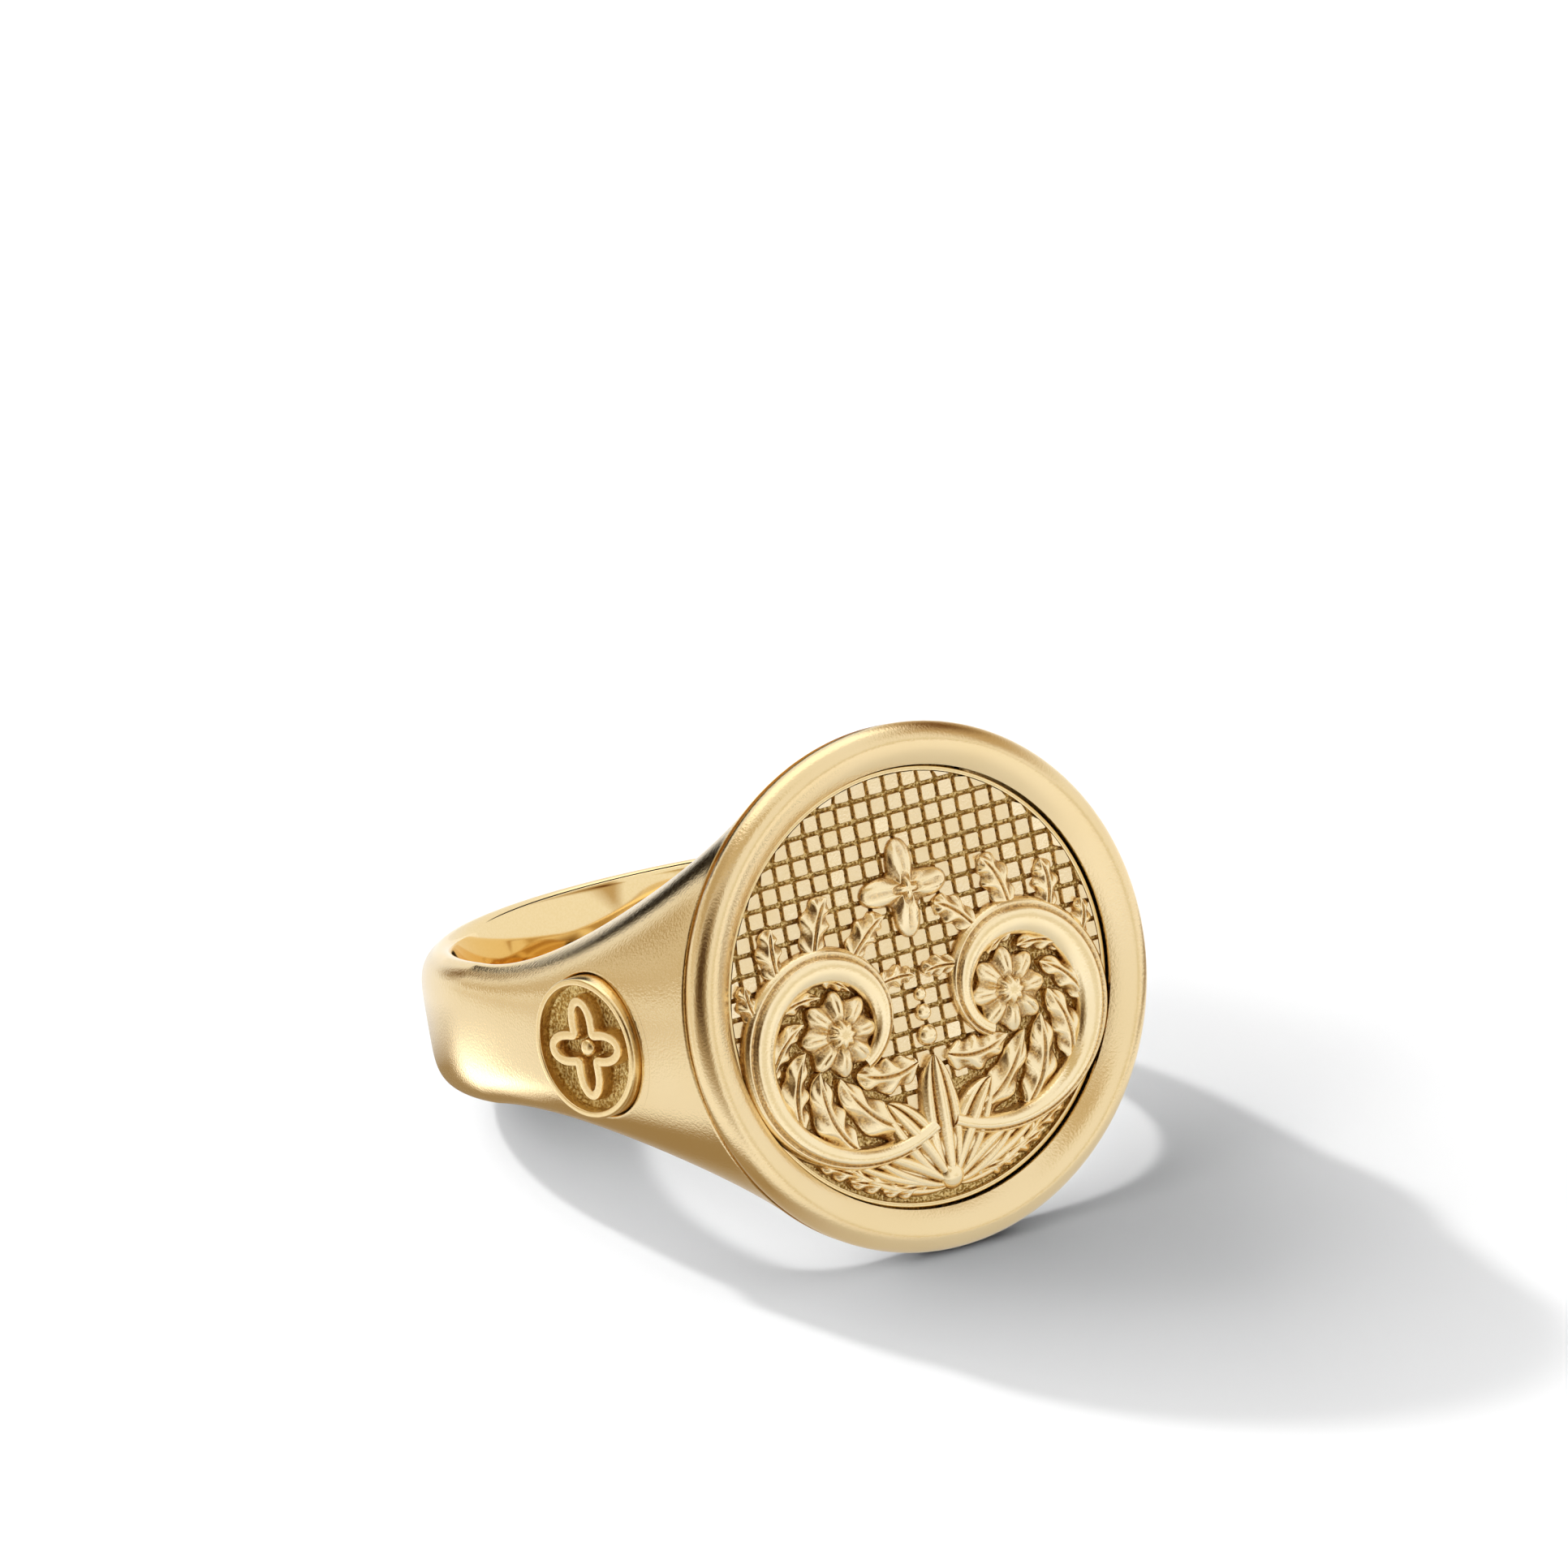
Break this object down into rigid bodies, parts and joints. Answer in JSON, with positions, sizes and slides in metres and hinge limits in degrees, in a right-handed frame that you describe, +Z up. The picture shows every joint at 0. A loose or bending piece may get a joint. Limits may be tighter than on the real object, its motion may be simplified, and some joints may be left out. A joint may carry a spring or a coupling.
{
  "type": "signet ring",
  "caption": "Gold signet ring with a round beaded face, a sunk cross-hatched medallion carrying raised scroll relief, and a small round badge set in each flared shoulder.",
  "frame": {"origin": "on the table, at the middle of the ring's box, with the ring lying on its side as it comes to rest", "axes": "+Z up from the table; the round face looks along -Y and a little up; +X runs across the shoulders; the finger hole leans 17.1 degrees from +Z towards +Y"},
  "size_m": [0.0232, 0.0268, 0.0184],
  "materials": {
    "satin_gold": "satin",
    "rim_gold": "satin",
    "ground_gold": "frosted",
    "relief_gold": "polished",
    "badge_gold": "satin",
    "knot_gold": "polished"
  },
  "bodies": {
    "root": {"ring_body": "satin_gold", "bezel_rim": "rim_gold", "medallion_plate": "ground_gold", "scroll_left": "relief_gold", "scroll_right": "relief_gold", "leaf_cup": "relief_gold", "flower": "relief_gold", "badge_left": "badge_gold", "badge_right": "badge_gold", "badge_knot_left": "knot_gold", "badge_knot_right": "knot_gold"}
  },
  "joints": []
}
